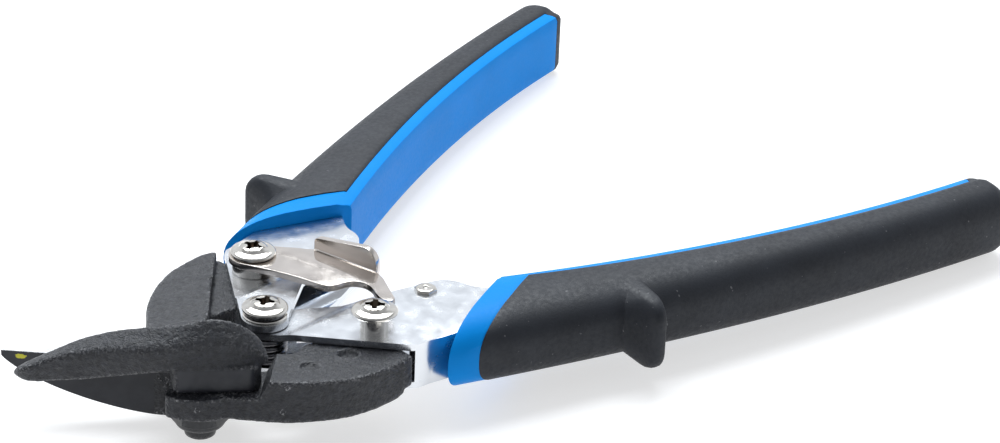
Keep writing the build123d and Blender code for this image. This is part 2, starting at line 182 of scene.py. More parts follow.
def prism(outline, low, high):
    """Upright solid over a plan outline, between two heights above the shear plane."""
    return loft([[(x, y, shear_z + z) for x, y in outline] for z in (low, high)])


def lathe(profile, centre, segments=64):
    """Solid of revolution about an upright axis; the profile is (radius, height) from axis to axis."""
    bm = bmesh.new()
    rows = []
    for radius, height in profile:
        if radius == 0:
            rows.append([bm.verts.new((centre[0], centre[1], shear_z + height))])
            continue
        angles = [2 * pi * i / segments for i in range(segments)]
        rows.append([bm.verts.new((centre[0] + radius * cos(a), centre[1] + radius * sin(a),
                                   shear_z + height)) for a in angles])
    for near, far in zip(rows, rows[1:]):
        for i in range(segments):
            corners = (near[i - 1 if len(near) > 1 else 0], near[i if len(near) > 1 else 0],
                       far[i if len(far) > 1 else 0], far[i - 1 if len(far) > 1 else 0])
            bm.faces.new(tuple(dict.fromkeys(corners)))
    if profile[0][0] and profile[-1][0]:  # a ring: its profile closes on itself
        for i in range(segments):
            bm.faces.new((rows[-1][i - 1], rows[-1][i], rows[0][i], rows[0][i - 1]))
    bmesh.ops.recalc_face_normals(bm, faces=bm.faces)
    return bm


def tube(points, radius, sides=14):
    """Round bar along a path, with rounded ends."""
    points = [Vector(p) for p in points]
    rings = []
    normal = Vector((0, 0, 1))
    for i, point in enumerate(points):
        along = (points[min(i + 1, len(points) - 1)] - points[max(i - 1, 0)]).normalized()
        normal = (normal - along * normal.dot(along)).normalized()
        across = along.cross(normal)
        rings.append((point, along, normal, across, radius))
    first, last = rings[0], rings[-1]
    for share in (0.35, 0.7, 0.95):
        drop = sqrt(1 - share**2)
        rings.insert(0, (first[0] - first[1] * radius * share, *first[1:4], radius * drop))
        rings.append((last[0] + last[1] * radius * share, *last[1:4], radius * drop))
    turns = [2 * pi * i / sides for i in range(sides)]
    return loft([[p + (n * cos(a) + c * sin(a)) * r for a in turns] for p, _, n, c, r in rings])


def join(*parts):
    """One mesh that holds several shells."""
    whole = bmesh.new()
    for part in parts:
        mesh = bpy.data.meshes.new("work")
        part.to_mesh(mesh)
        part.free()
        whole.from_mesh(mesh)
        bpy.data.meshes.remove(mesh)
    return whole


def work_object(bm):
    mesh = bpy.data.meshes.new("work")
    bm.to_mesh(mesh)
    bm.free()
    made = bpy.data.objects.new("work", mesh)
    bpy.context.scene.collection.objects.link(made)
    return made


def drop(made):
    mesh = made.data
    bpy.data.objects.remove(made)
    bpy.data.meshes.remove(mesh)


def modified(bm, kind, **settings):
    """The mesh after one Blender modifier."""
    made = work_object(bm)
    modifier = made.modifiers.new("work", kind)
    for key, value in settings.items():
        setattr(modifier, key, value)
    result = bmesh.new()
    result.from_mesh(made.evaluated_get(bpy.context.evaluated_depsgraph_get()).data)
    drop(made)
    return result


def combine(bm, other, operation):
    """Boolean of two closed meshes."""
    tool = work_object(other)
    result = modified(bm, "BOOLEAN", object=tool, operation=operation, solver="EXACT")
    drop(tool)
    return result


def cut(bm, *cutters):
    for cutter in cutters:
        bm = combine(bm, cutter, "DIFFERENCE")
    return bm


def bevel(bm, width, segments=2, angle=35.0, chosen=None):
    """Round the sharp edges, or only the chosen ones."""
    edges = [e for e in bm.edges if len(e.link_faces) == 2 and e.calc_face_angle() > radians(angle)
             and (chosen is None or chosen(e))]
    bmesh.ops.bevel(bm, geom=edges, offset=width, offset_type="OFFSET", segments=segments, profile=0.5,
                    affect="EDGES", clamp_overlap=True)
    return bm


def slice_at(bm, point, direction):
    """Add an edge loop where a plane crosses the mesh."""
    bmesh.ops.bisect_plane(bm, geom=[*bm.verts, *bm.edges, *bm.faces], dist=1e-5,
                           plane_co=point, plane_no=direction)


def cylinder(centre, radius, low, high, segments=48):
    turns = [2 * pi * i / segments for i in range(segments)]
    return prism([(centre[0] + radius * cos(a), centre[1] + radius * sin(a)) for a in turns], low, high)


def hexagon(centre, across_flats, turn=0.0):
    radius = across_flats / 2 / cos(pi / 6)
    return [(centre[0] + radius * cos(radians(turn) + pi / 3 * i),
             centre[1] + radius * sin(radians(turn) + pi / 3 * i)) for i in range(6)]


def piece(name, bm, body, materials, replaces=(), sharp=38.0, paint=None):
    """Turn a mesh in millimetres into a piece of the object that rides on a CAD body."""
    bmesh.ops.remove_doubles(bm, verts=bm.verts, dist=1e-4)
    bmesh.ops.dissolve_degenerate(bm, dist=1e-4, edges=bm.edges)
    bmesh.ops.recalc_face_normals(bm, faces=bm.faces)
    for face in bm.faces:
        face.smooth = True
        face.material_index = paint(face) if paint else 0
    for edge in bm.edges:
        edge.smooth = len(edge.link_faces) == 2 and edge.calc_face_angle() < radians(sharp)
    bmesh.ops.scale(bm, vec=(MM, MM, MM), verts=bm.verts)
    mesh = bpy.data.meshes.new(name)
    bm.to_mesh(mesh)
    bm.free()
    for material in materials:
        mesh.materials.append(material)
    made = bpy.data.objects.new(name, mesh)
    bpy.context.scene.collection.objects.link(made)
    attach(made, body)
    if replaces:
        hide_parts(*replaces)
    return made


# ---- materials ----------------------------------------------------------------------------
class Nodes:
    """Short names for making a material's node tree."""

    def __init__(self, name):
        self.material = bpy.data.materials.new(name)
        self.material.use_nodes = True
        self.tree = self.material.node_tree
        self.shader = next(n for n in self.tree.nodes if n.type == "BSDF_PRINCIPLED")
        self.place = self.add("ShaderNodeTexCoord").outputs["Object"]

    def add(self, kind, **settings):
        node = self.tree.nodes.new(kind)
        for key, value in settings.items():
            setattr(node, key, value)
        return node

    def link(self, output, target):
        self.tree.links.new(output, target)

    def noise(self, size, detail=3.0, roughness=0.55, stretch=None):
        """Noise whose features are about size millimetres across."""
        node = self.add("ShaderNodeTexNoise")
        node.inputs["Scale"].default_value = 1.0 / (size * MM)
        node.inputs["Detail"].default_value = detail
        node.inputs["Roughness"].default_value = roughness
        place = self.place
        if stretch:
            mapping = self.add("ShaderNodeMapping")
            mapping.inputs["Rotation"].default_value = (0, 0, radians(stretch[0]))
            mapping.inputs["Scale"].default_value = stretch[1:]
            self.link(place, mapping.inputs["Vector"])
            place = mapping.outputs["Vector"]
        self.link(place, node.inputs["Vector"])
        return node.outputs["Fac"]

    def ramp(self, value, *stops, halved=False):
        """Colour ramp from (position, colour) stops; halved values are read at half their size."""
        if halved:
            half = self.add("ShaderNodeMath", operation="MULTIPLY")
            half.inputs[1].default_value = 0.5
            self.link(value, half.inputs[0])
            value = half.outputs[0]
        node = self.add("ShaderNodeValToRGB")
        elements = node.color_ramp.elements
        while len(elements) < len(stops):
            elements.new(0.5)
        for element, (position, colour) in zip(elements, stops):
            element.position = position
            element.color = (*colour, 1) if isinstance(colour, tuple) else (colour, colour, colour, 1)
        self.link(value, node.inputs["Fac"])
        return node.outputs["Color"]

    def mix(self, share, a, b):
        node = self.add("ShaderNodeMix", data_type="RGBA")
        for value, target in ((share, node.inputs[0]), (a, node.inputs[6]), (b, node.inputs[7])):
            if isinstance(value, tuple):
                target.default_value = (*value, 1)
            elif isinstance(value, float):
                target.default_value = value
            else:
                self.link(value, target)
        return node.outputs[2]

    def multiply(self, a, b):
        node = self.add("ShaderNodeMath", operation="MULTIPLY", use_clamp=True)
        for value, target in ((a, node.inputs[0]), (b, node.inputs[1])):
            if isinstance(value, float):
                target.default_value = value
            else:
                self.link(value, target)
        return node.outputs[0]

    def spot(self, centre, turn, radii):
        """1 inside an uneven oval about a place in metres, 0 outside it."""
        mapping = self.add("ShaderNodeMapping", vector_type="TEXTURE")
        mapping.inputs["Location"].default_value = centre
        mapping.inputs["Rotation"].default_value = (0, 0, turn)
        mapping.inputs["Scale"].default_value = radii
        self.link(self.place, mapping.inputs["Vector"])
        length = self.add("ShaderNodeVectorMath", operation="LENGTH")
        self.link(mapping.outputs["Vector"], length.inputs[0])
        ragged = self.add("ShaderNodeMath", operation="MULTIPLY_ADD")
        self.link(self.noise(0.6, 2.0), ragged.inputs[0])
        ragged.inputs[1].default_value = 0.8
        self.link(length.outputs["Value"], ragged.inputs[2])
        return self.ramp(ragged.outputs[0], (1.30 / 2, 1.0), (1.46 / 2, 0.0), halved=True)

    def edges(self, low, high):
        """1 on convex edges, 0 elsewhere."""
        return self.ramp(self.add("ShaderNodeNewGeometry").outputs["Pointiness"], (low, 0.0), (high, 1.0))

    def bump(self, *layers):
        """Chain of bumps from (noise, strength, depth in millimetres)."""
        normal = None
        for value, strength, depth in layers:
            node = self.add("ShaderNodeBump")
            node.inputs["Strength"].default_value = strength
            node.inputs["Distance"].default_value = depth * MM
            self.link(value, node.inputs["Height"])
            if normal:
                self.link(normal, node.inputs["Normal"])
            normal = node.outputs["Normal"]
        self.link(normal, self.shader.inputs["Normal"])

    def finish(self, colour, roughness, metallic=0.0, specular=0.5):
        self.link(colour, self.shader.inputs["Base Color"])
        self.link(roughness, self.shader.inputs["Roughness"])
        self.shader.inputs["Metallic"].default_value = metallic
        self.shader.inputs["Specular IOR Level"].default_value = specular
        return self.material


def forged_black():
    """Phosphated forging: near black, pitted by the die, rubbed bright in specks on its high edges."""
    m = Nodes("forged_black")
    base = m.ramp(m.noise(1.1, 4.0), (0.35, (0.004, 0.005, 0.008)), (0.65, (0.015, 0.017, 0.024)))
    specks = m.ramp(m.noise(0.50, 2.0), (0.50, 0.0), (0.60, 1.0))
    bright_edges = m.multiply(m.edges(0.505, 0.56), specks)
    colour = m.mix(bright_edges, base, (0.24, 0.24, 0.25))
    roughness = m.ramp(m.noise(1.2, 3.0), (0.3, 0.34), (0.7, 0.62))
    m.bump((m.noise(1.3, 4.0, 0.65), 1.0, 0.75), (m.noise(0.45, 2.0), 0.8, 0.20))
    return m.finish(colour, roughness, 0.0, specular=0.56)


def machined_black(name="machined_black", dab=None):
    """Smoother phosphated faces, ground before the finish; dab is the place of an inspector's paint mark."""
    m = Nodes(name)
    colour = m.ramp(m.noise(6.0, 3.0), (0.3, (0.012, 0.013, 0.018)), (0.7, (0.022, 0.024, 0.031)))
    if dab:
        colour = m.mix(m.spot(*dab), colour, (0.55, 0.52, 0.03))
    lines = m.noise(0.25, 2.0, 0.6, (cutting_angle, 0.05, 1.0, 1.0))
    roughness = m.ramp(m.noise(2.0, 3.0), (0.3, 0.36), (0.7, 0.52))
    m.bump((lines, 0.3, 0.03), (m.noise(1.5, 3.0), 0.3, 0.06))
    return m.finish(colour, roughness, 0.0, specular=0.38)


def ground_steel():
    """Bare cutting face with fine grinding lines across the edge."""
    m = Nodes("ground_steel")
    lines = m.noise(0.22, 3.0, 0.65, (cutting_angle, 1.0, 0.06, 1.0))
    colour = m.ramp(lines, (0.25, (0.50, 0.50, 0.51)), (0.75, (0.78, 0.78, 0.79)))
    roughness = m.ramp(m.noise(1.2, 3.0), (0.3, 0.28), (0.7, 0.42))
    m.bump((lines, 0.3, 0.02))
    return m.finish(colour, roughness, 1.0)


def plated(name, tint, scratch_turn, rough):
    """Bright nickel plate over pressed sheet: faint rolling lines, soft waviness and small scuffs."""
    m = Nodes(name)
    waves = m.noise(9.0, 2.0, 0.4)
    rolling = m.noise(0.3, 3.0, 0.6, (scratch_turn, 0.04, 1.0, 1.0))
    darker = tuple(c * 0.90 for c in tint)
    clean = m.ramp(waves, (0.3, darker), (0.7, tint))
    scuffs = m.ramp(m.noise(1.6, 5.0, 0.7), (0.66, 0.0), (0.74, 0.55))
    colour = m.mix(scuffs, clean, tuple(c * 0.72 for c in tint))
    roughness = m.ramp(m.noise(3.0, 4.0), (0.3, rough), (0.7, rough + 0.11))
    m.bump((waves, 0.12, 0.12), (rolling, 0.10, 0.015))
    return m.finish(colour, roughness, 1.0)


def fastener_nickel(name="fastener_nickel", tint=(0.74, 0.71, 0.66)):
    """Turned and plated screw heads; given a dark, warm tint, the same material is the painted shade inside
    the cross recess.
    """
    m = Nodes(name)
    tone = m.noise(2.2, 3.0)
    clean = m.ramp(tone, (0.3, tuple(c * 0.80 for c in tint)), (0.7, tint))
    # Painted highlight: the convex edges of the heads are tinted lighter.
    colour = m.mix(m.edges(0.53, 0.60), clean, tuple(c * 1.15 for c in tint))
    roughness = m.ramp(m.noise(0.9, 3.0), (0.3, 0.12), (0.7, 0.26))
    m.bump((m.noise(0.25, 2.0), 0.12, 0.02), (tone, 0.1, 0.08))
    return m.finish(colour, roughness, 1.0)


def fastener_black():
    """Oil-blackened bolt and nut with worn corners."""
    m = Nodes("fastener_black")
    base = m.ramp(m.noise(2.5, 4.0), (0.3, (0.010, 0.011, 0.014)), (0.7, (0.024, 0.026, 0.031)))
    worn = m.multiply(m.edges(0.52, 0.60), m.ramp(m.noise(0.6, 2.0), (0.4, 0.0), (0.6, 0.8)))
    colour = m.mix(worn, base, (0.24, 0.24, 0.25))
    roughness = m.ramp(m.noise(1.0, 3.0), (0.3, 0.25), (0.7, 0.45))
    m.bump((m.noise(0.4, 2.0), 0.2, 0.03))
    return m.finish(colour, roughness, 0.0, specular=0.6)


def spring_steel():
    """Drawn wire with lengthwise die lines and a grey oxide."""
    m = Nodes("spring_steel")
    colour = m.ramp(m.noise(1.5, 4.0), (0.3, (0.10, 0.10, 0.11)), (0.7, (0.27, 0.27, 0.28)))
    roughness = m.ramp(m.noise(0.6, 3.0), (0.3, 0.22), (0.7, 0.38))
    m.bump((m.noise(0.2, 2.0), 0.15, 0.02))
    return m.finish(colour, roughness, 1.0)


def blue_plastic():
    """Hard nylon moulding, satin, with a fine spark-eroded grain."""
    m = Nodes("blue_plastic")
    colour = m.ramp(m.noise(14.0, 3.0), (0.3, (0.001, 0.225, 0.66)), (0.7, (0.002, 0.245, 0.72)))
    # Painted highlight: lighter blue in patches along the convex edges.
    bright_edges = m.multiply(m.edges(0.52, 0.62), m.ramp(m.noise(1.1, 3.0), (0.45, 0.0), (0.65, 0.4)))
    colour = m.mix(bright_edges, colour, (0.02, 0.30, 0.80))
    roughness = m.ramp(m.noise(0.8, 3.0), (0.3, 0.36), (0.7, 0.50))
    m.bump((m.noise(0.30, 2.0), 0.16, 0.04), (m.noise(6.0, 2.0), 0.1, 0.15))
    return m.finish(colour, roughness, 0.0, specular=0.07)


def black_grip():
    """Soft thermoplastic rubber: charcoal, matt, finely grained, with a few dust specks."""
    m = Nodes("black_grip")
    base = m.ramp(m.noise(10.0, 4.0), (0.3, (0.009, 0.011, 0.016)), (0.7, (0.016, 0.019, 0.026)))
    dust = m.ramp(m.noise(0.9, 1.0, 0.4), (0.76, 0.0), (0.80, 0.5))
    colour = m.mix(dust, base, (0.16, 0.16, 0.17))
    roughness = m.ramp(m.noise(1.0, 3.0), (0.3, 0.46), (0.7, 0.66))
    m.bump((m.noise(0.34, 3.0, 0.6), 0.5, 0.10), (m.noise(2.2, 3.0), 0.12, 0.10))
    return m.finish(colour, roughness, 0.0, specular=0.36)


forging = forged_black()
machined = machined_black()
bare_edge = ground_steel()
nickel_plate = plated("plated_steel", (0.74, 0.76, 0.79), 25.0, 0.18)
latch_plate = plated("latch_plate", (0.70, 0.645, 0.60), 70.0, 0.12)
nickel_screw = fastener_nickel()
# Dark, warm tint: painted shade inside the screws' cross recesses.
recess_painted_shade = fastener_nickel("recess_painted_shade", (0.13, 0.10, 0.075))
black_steel = fastener_black()
wire_steel = spring_steel()
blue = blue_plastic()
rubber = black_grip()


# ---- jaws ---------------------------------------------------------------------------------
def jaw_point(jaw, along, across, height):
    """Row-frame point from a jaw's own axes: along the blade, across it, and above the shear plane."""
    turn = radians(jaw_angle[jaw])
    return Vector((along * cos(turn) - across * sin(turn), along * sin(turn) + across * cos(turn),
                   shear_z + height))


def tail_outline(side):
    """Plan of a jaw's arched tail, up to the step where it enters its channel."""
    arch = spline([(-3.5, 11.8), (5.0, 22.4), (15.8, 29.0), (26.0, 30.6), (31.6, 29.6), (30.4, 28.0)], 8)
    return mirrored(side, [(11.8, 10.2), (3.5, 5.0), (-6.0, 6.0), *arch])


def neck_outline(side):
    """Plan of the thinner neck that reaches the tail's pivot and fills the channel's mouth."""
    end = arc((pivot_x - 0.6, pivot_y - 6.2), (pivot_x + 6.2, pivot_y + 0.6), (pivot_x + 1.1, pivot_y + 6.1))
    return mirrored(side, [(26.0, 28.4), (12.5, 12.0), (20.5, 11.0), *end,
                           (33.6, 26.8), (33.3, 30.3), (30.0, 30.8)])


def tail_parts(side, rise):
    """Arched tail, whose top rises or falls along it, and the thinner neck in its channel."""
    thick = prism(tail_outline(side), -tail_outer_half, tail_outer_half)
    for vertex in thick.verts:
        if vertex.co.z > shear_z:
            vertex.co.z += blend(*rise, clamp((vertex.co.x - 6.0) / 24.0))
    thick = bevel(thick, 1.3, 3, 60.0, lambda e: abs(e.verts[0].co.z - e.verts[1].co.z) < 1.0)
    return [thick, bevel(prism(neck_outline(side), -tail_half, tail_half), 0.5, 2, 60.0)]


def jaw_plan(jaw, points):
    """Plan in the row frame of (along, across) points in a jaw's own axes."""
    return [tuple(jaw_point(jaw, along, across, 0.0)[:2]) for along, across in points]


def circle(radius, start, end, steps):
    """Points on a circle about the pivot, between two angles in degrees."""
    return [(radius * cos(radians(a)), radius * sin(radians(a))) for a in spread(start, end, steps)]


def straight(a, b, count):
    """Points from a up to, but not including, b."""
    return [(blend(a[0], b[0], i / count), blend(a[1], b[1], i / count)) for i in range(count)]


def upper_section(along):
    """Section of the winged upper blade, which leans out to pass the bolt's head on its near side."""
    reach = min(38.6 - along, 38.6)
    wing_run = clamp(36.0 - along, 0.0, 36.0)
    sweep = smoothstep(clamp((36.0 - along) / 31.0) ** 1.25)
    lean = smoothstep((26.0 - along) / 26.0)
    clear = smoothstep((14.0 - along) / 10.0)
    height = 2.6 + 0.46 * reach - 0.0026 * reach**2
    inner = blend(-edge_offset, 5.95, clear)
    near = (0.7 + 8.7 * sweep, 0.3 + 5.7 * sweep**1.1 + 1.2 * clamp((along - 34.0) / 4.4) ** 2)
    ridge = (near[0] + 0.8, 4.2 + 0.36 * wing_run - 0.0042 * wing_run**2)
    crest = (blend(-2.4, 6.9, lean), height)
    shoulder = (blend(ridge[0], crest[0], 0.5), blend(ridge[1], crest[1], 0.5) + 0.45)
    back = (inner, height - 0.7 - 0.55 * (crest[0] - inner))
    foot = (inner, blend(0.0, near[1], clear))
    curve = spline([near, ridge, shoulder, crest], 7)[:-1]
    runs = (straight(foot, near, 5), curve, straight(crest, back, 3), straight(back, foot, 7))
    tip = sqrt(1 - clamp((along - 36.0) / 2.9) ** 2.4)
    fall = sqrt(1 - clamp(-along / 13.5) ** 2.2)
    seat = 5.2
    ring = []
    for across, z in (point for run in runs for point in run):
        across, z = blend(-1.6, across, tip), blend(1.8, z, tip)
        if along < 0:
            across, z = blend(inner, across, 0.45 + 0.55 * fall), blend(seat, z, fall)
        ring.append(jaw_point("upper", along, across, z))
    return ring


def lower_section(along):
    """Section of the flat-faced lower blade."""
    rise = clamp((along - 9.0) / 34.3)
    depth = 1.2 + 12.2 * (1 - rise**1.6) ** 0.75
    width = 3.4 - 0.75 * clamp((along - 15.0) / 15.0)
    face, back = -edge_offset, -edge_offset - width
    toe, low_edge, edge = (face - 0.9, -depth), (face, -depth + 0.3), (face, -0.12)
    land_front, land_back, shoulder = (face - 0.12, 0.0), (back + 0.2, 0.0), (back - 0.05, -0.25)
    belly = [shoulder, (back - 0.14 * depth, -0.40 * depth), (back, -0.82 * depth), toe]
    runs = (straight(low_edge, edge, 10), straight(edge, land_front, 1), straight(land_front, land_back, 4),
            straight(land_back, shoulder, 1), spline(belly, 5)[:-1], straight(toe, low_edge, 2))
    return [jaw_point("lower", along, across, height) for run in runs for across, height in run]


def forge(bm, voxel=0.42, rounds=4):
    """Melt the shells into one forging with soft corners."""
    bm = modified(bm, "REMESH", mode="VOXEL", voxel_size=voxel, adaptivity=0.0)
    return modified(bm, "SMOOTH", factor=0.5, iterations=rounds)


def cast_skin(bm, smooth_plane):
    """Lift the skin into the shallow unevenness of a forging, except near its machined faces."""
    bm.normal_update()
    for vertex in bm.verts:
        spot = vertex.co
        rough = noise.noise(spot * 0.9) * 0.06 + noise.noise(spot * 0.28) * 0.10
        vertex.co = spot + vertex.normal * rough * smooth_plane(spot)


def away_from(jaw, planes):
    """1 away from a jaw's machined planes, 0 on them; planes are (axis, level) in the jaw's own axes."""
    turn = radians(jaw_angle[jaw])
    across = Vector((-sin(turn), cos(turn), 0))

    def share(spot):
        nearest = min(abs((spot.dot(across) if axis == "across" else spot.z - shear_z) - level)
                      for axis, level in planes)
        return clamp((nearest - 0.3) / 1.2)

    return share


def dimple(bm, centre, radii, turn, depth):
    """Press a shallow oval into the top of a tail."""
    for vertex in bm.verts:
        if vertex.co.z < shear_z + 2.4:
            continue
        dx, dy = vertex.co.x - centre[0], vertex.co.y - centre[1]
        u = (dx * cos(turn) + dy * sin(turn)) / radii[0]
        v = (dy * cos(turn) - dx * sin(turn)) / radii[1]
        distance = hypot(u, v)
        if distance < 1.25:
            vertex.co.z += -depth * smoothstep((1.0 - distance) / 0.35) + 0.12 * smoothstep(
                1 - abs(distance - 1.1) / 0.15)


def flatten(bm, jaw, level, start, reach):
    """Settle the skin beyond start along a blade onto its ground face, where it is within reach of it."""
    turn = radians(jaw_angle[jaw])
    for vertex in bm.verts:
        along = vertex.co.x * cos(turn) + vertex.co.y * sin(turn)
        across = vertex.co.y * cos(turn) - vertex.co.x * sin(turn)
        if along > start and abs(across - level) < reach:
            across = level
        vertex.co = jaw_point(jaw, along, across, vertex.co.z - shear_z)


def jaw_axes(jaw, face):
    """A face's centre and normal in a jaw's own axes."""
    turn = radians(jaw_angle[jaw])
    centre, normal = face.calc_center_median(), face.normal
    return ((centre.x * cos(turn) + centre.y * sin(turn), centre.y * cos(turn) - centre.x * sin(turn),
             centre.z - shear_z),
            (normal.x * cos(turn) + normal.y * sin(turn), normal.y * cos(turn) - normal.x * sin(turn),
             normal.z))


def eye_notch(side):
    """Notch in a jaw's hub for the handles' eyes and the spring, which come nearest when closed."""
    return cylinder((closed_centre_x, side * closed_centre_y), eye_radius + 0.7, -16.0, 16.0, 72)


def make_upper_jaw():
    """Winged blade on its hub, with the flat beside the wing's heel and the arched tail."""
    places = [38.85, 38.6, 38.0, 37.2, *spread(36.0, -9.0, 30), -10.8, -12.2, -13.1, -13.45]
    wing = loft([upper_section(along) for along in places])
    outline = [*circle(upper_hub_radius, 188.0, 358.0, 40), (6.6, 0.0),
               *arc((6.6, 7.6), (6.1, 8.7), (5.0, 9.2), 5), *arc((-8.2, 10.2), (-10.9, 9.6), (-12.1, 6.9), 6)]
    hub = bevel(prism(jaw_plan("upper", outline), 0.0, upper_hub_thickness + 0.4), 0.5, 2, 60.0)
    body = forge(join(wing, hub, *tail_parts(LEFT, (0.0, 1.4))))
    flatten(body, "upper", -edge_offset, 14.0, 0.5)
    cast_skin(body, away_from("upper", [("across", -edge_offset), ("height", 0.0)]))
    room = cylinder((0, 0), hub_radius + 1.0, -16.0, 0.0)
    back_room = loft([[jaw_point("lower", a, c, z) for a, c in ((0, -9.4), (30, -9.4), (30, 30), (0, 30))]
                      for z in (-16.0, 0.0)])
    body = cut(body, room, back_room, eye_notch(LEFT),
               cylinder((0, 0), head_radius + 0.2, upper_hub_thickness, 20.0),
               cylinder((0, 0), shank_radius + 0.06, -1.0, 8.0),
               cylinder(pivots[LEFT], shoulder_radius + 0.06, -8.0, 8.0))

    def paint(face):
        (along, across, height), (_, n_across, _) = jaw_axes("upper", face)
        if n_across < -0.9 and across < -edge_offset + 0.2 and along > 8:
            return 1
        return 1 if n_across > 0.9 and height < 5.6 and across > 9.0 else 0

    piece("upper_jaw_forging", body, "upper_jaw", [forging, machined], ["upper_jaw"],
          paint=paint)


def make_lower_jaw():
    """Deep flat-faced blade on its hub, with a bare cutting edge, and the arched tail with two dimples."""
    outline = [*circle(hub_radius, 62.0, 343.5, 60), (5.8, -edge_offset)]
    hub = bevel(prism(jaw_plan("lower", outline), hub_bottom, 0.3), 0.5, 2, 60.0)
    body = forge(join(hub, *tail_parts(RIGHT, (-0.6, -1.8))))
    blade = loft([lower_section(a) for a in [43.2, 43.0, 42.4, 41.4, *spread(40.0, 4.0, 40)]])
    body = combine(body, blade, "UNION")
    cast_skin(body, away_from("lower", [("across", -edge_offset), ("height", 0.0)]))
    dimple(body, (23.6, -20.4), (2.5, 2.1), radians(-20), 0.9)
    dimple(body, (13.4, -19.2), (2.3, 1.9), radians(-40), 0.6)
    far = 40.0
    hub_room = loft([[jaw_point("lower", along, across, z)
                      for along, across in ((start, -far), (30.0, -far), (30.0, far), (start, far))]
                     for z, start in ((0.0, -13.9), (9.0, -18.4))])
    body = cut(body, hub_room, eye_notch(RIGHT), cylinder((0, 0), 8.4, -16.0, hub_bottom),
               cylinder((0, 0), shank_radius + 0.02, -8.0, 1.0),
               cylinder(pivots[RIGHT], shoulder_radius + 0.06, -8.0, 8.0))

    def paint(face):
        (along, across, height), (_, n_across, n_height) = jaw_axes("lower", face)
        if n_height > 0.9 and height > -0.15 and across < -2.5 and along > 10:
            return 2
        return 1 if n_across > 0.9 and across > -edge_offset - 0.2 and along > 10 else 0

    mark = (jaw_point("lower", 39.0, -edge_offset, -1.15) * MM, radians(jaw_angle["lower"]),
            (1.2 * MM, 1.0 * MM, 0.55 * MM))
    piece("lower_jaw_forging", body, "lower_jaw",
          [forging, machined_black("marked_black", mark), bare_edge], ["lower_jaw"], paint=paint)


make_upper_jaw()
make_lower_jaw()


# ---- main pivot ---------------------------------------------------------------------------
def threaded(profile_top, profile_bottom, radius, depth, pitch):
    """Profile points of a thread's ridges between two heights, going down."""
    count = int((profile_top - profile_bottom) / pitch)
    points = []
    for i in range(count):
        height = profile_top - i * pitch
        points += [(radius, height), (radius, height - 0.25 * pitch), (radius - depth, height - 0.5 * pitch),
                   (radius - depth, height - 0.75 * pitch)]
    return points


def make_main_bolt():
    """Domed socket-head bolt whose threaded foot is the lowest point of the shear."""
    head_base = upper_hub_thickness + 0.1
    foot = -shear_z
    profile = [(0, main_head_top), (3.9, main_head_top), (4.6, main_head_top - 0.25),
               (5.3, main_head_top - 1.0), (head_radius, main_head_top - 1.8), (head_radius, head_base + 0.2),
               (head_radius - 0.2, head_base), (shank_radius, head_base), (shank_radius, hub_bottom - 0.8),
               *threaded(hub_bottom - 1.2, foot + 1.6, shank_radius, 0.45, 1.25),
               (shank_radius - 0.5, foot + 1.0), (shank_radius - 0.7, foot + 0.3),
               (shank_radius - 1.1, foot), (0, foot)]
    socket = prism(hexagon((0, 0), 5.0, 20.0), main_head_top - 2.4, main_head_top + 1)
    body = cut(lathe(profile, (0, 0), 72), socket)
    piece("main_pivot_screw", bevel(body, 0.08, 1, 50.0), "lower_jaw", [black_steel],
          ["main_pivot_bolt"])


def make_main_nut():
    """Self-locking nut: chamfered hexagon with a rolled collar round the nylon ring."""
    low = box_mm("main_pivot_nut")[0].z - shear_z
    across = 12.4
    collar = low + 1.9
    body = prism(hexagon((0, 0), across, 15.0), collar - 0.1, nut_top)
    cone = lathe([(0, nut_top + 0.01), (across / 2 + 0.1, nut_top + 0.01), (7.3, nut_top - 0.75),
                  (7.3, collar + 0.7), (across / 2 - 0.1, collar - 0.11), (0, collar - 0.11)], (0, 0), 72)
    body = combine(body, cone, "INTERSECT")
    dome = lathe([(0, collar + 0.3), (5.6, collar + 0.3), (5.55, low + 0.9), (5.2, low + 0.3), (4.7, low),
                  (0, low)], (0, 0), 72)
    body = cut(combine(body, dome, "UNION"), cylinder((0, 0), shank_radius + 0.03, low - 1, nut_top + 1))
    piece("main_lock_nut", bevel(body, 0.15, 2, 30.0), "lower_jaw", [black_steel],
          ["main_pivot_nut"])


def make_ring(name, node, body, material, outer, inner, edge=0.18):
    """Washer, bush or spacer with eased edges, where its CAD node stands."""
    low, high = box_mm(node)
    centre = (low + high) / 2
    low_z, high_z = low.z - shear_z, high.z - shear_z
    profile = [(inner, low_z + edge), (inner + edge, low_z), (outer - edge, low_z), (outer, low_z + edge),
               (outer, high_z - edge), (outer - edge, high_z), (inner + edge, high_z), (inner, high_z - edge)]
    piece(name, lathe(profile, centre, 72), body, [material], [node])


make_main_bolt()
make_main_nut()
make_ring("main_washer", "main_pivot_washer", "lower_jaw", black_steel, 7.4, 4.05)


# ---- channel handles ----------------------------------------------------------------------
def channel_outline(side):
    """Plan of a channel from its eye to the end of its tang."""
    eye = arc((centre_x - 4.08, 3.06), (centre_x - 3.0, -4.1), (centre_x + 4.0, -3.2), 18)
    inner = [(36.0, 5.9), (45.0, 8.2), *spline([(57.6, 11.7), (60.4, 13.0), (62.2, 15.8), (63.0, 19.4),
                                                (65.4, 23.2), (69.0, 27.0)], 4)]
    tang = [inner_line(x, 4.0) for x in spread(75.0, tang_end, 14)]
    web = [web_line(x) for x in spread(tang_end, 46.8, 18)]
    return mirrored(side, [*eye, *inner, *tang, *web, (43.0, 31.4), (38.6, 30.3), (35.4, 29.9), (33.9, 28.8)])


def channel_hollow(side):
    """Plan of the space between the two plates, open at the front and on the inner side."""
    web = [web_line(x, 1.55) for x in spread(46.3, tang_end + 2.0, 18)]
    return mirrored(side, [(35.7, 26.8), (39.0, 28.3), *web, (tang_end + 4.0, 20.0), (60.0, -12.0),
                           (5.0, -12.0), (5.0, 36.0), (34.7, 29.6)])


